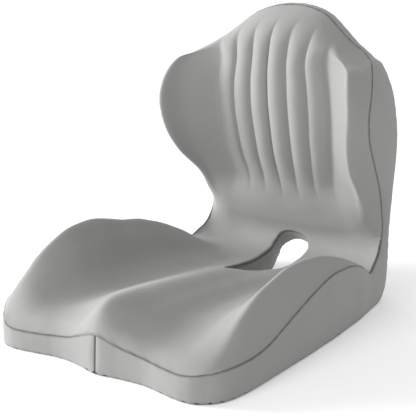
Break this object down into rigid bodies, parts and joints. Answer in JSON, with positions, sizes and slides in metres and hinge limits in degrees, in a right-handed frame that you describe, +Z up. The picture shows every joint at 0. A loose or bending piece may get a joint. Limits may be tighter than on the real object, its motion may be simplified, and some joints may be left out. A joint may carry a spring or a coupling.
{
  "type": "seat cushion",
  "caption": "Contoured one-piece seat and back cushion in a sewn grey knit cover, with raised side bolsters, ribbed back wings, a tail-bone slot and a rear zip.",
  "frame": {"origin": "middle of the footprint at floor level, under the centre of the bounding box", "axes": "+Z up, +Y to the rear, from the seat's nose towards the back, +X to the sitter's left; the cushion stands on its underside"},
  "size_m": [0.3928, 0.5184, 0.462],
  "materials": {
    "cover_knit": "matte stretch knit, light grey",
    "cover_knit_rear": "matte stretch knit, light grey",
    "band_knit": "matte stretch knit, mid grey",
    "base_fabric": "woven non-slip cloth with small rubber dots",
    "lining_fabric": "matte knit, mid grey",
    "memory_foam": "open-cell foam, off white",
    "support_foam": "open-cell foam, pale grey",
    "zip_tape": "woven tape, grey",
    "zip_teeth": "nylon, satin",
    "zip_metal": "grey lacquered zinc, satin"
  },
  "bodies": {
    "cushion": {"top_panel": "cover_knit", "base_panel": "base_fabric", "back_panel": "cover_knit_rear", "side_band_left": "band_knit", "side_band_right": "band_knit", "slot_lining": "lining_fabric", "seat_memory_foam": "memory_foam", "seat_support_foam": "support_foam", "back_memory_foam": "memory_foam", "back_support_foam": "support_foam", "zip_tape_upper": "zip_tape", "zip_tape_lower": "zip_tape", "zip_teeth_upper": "zip_teeth", "zip_teeth_lower": "zip_teeth", "zip_top_stop_upper": "zip_metal", "zip_top_stop_lower": "zip_metal", "zip_bottom_stop": "zip_metal"},
    "slider": {"zip_slider": "zip_metal"},
    "pull": {"zip_pull": "zip_metal"}
  },
  "joints": [
    {"name": "zip_slide", "type": "slide", "parent": "cushion", "child": "slider", "axis": [1, 0, 0], "range_m": [-0.006, 0.23]},
    {"name": "pull_hinge", "type": "hinge", "parent": "slider", "child": "pull", "pos_m": [-0.10863, 0.25853, 0.122], "axis": [0, 0, 1], "range_deg": [0, 170]}
  ]
}
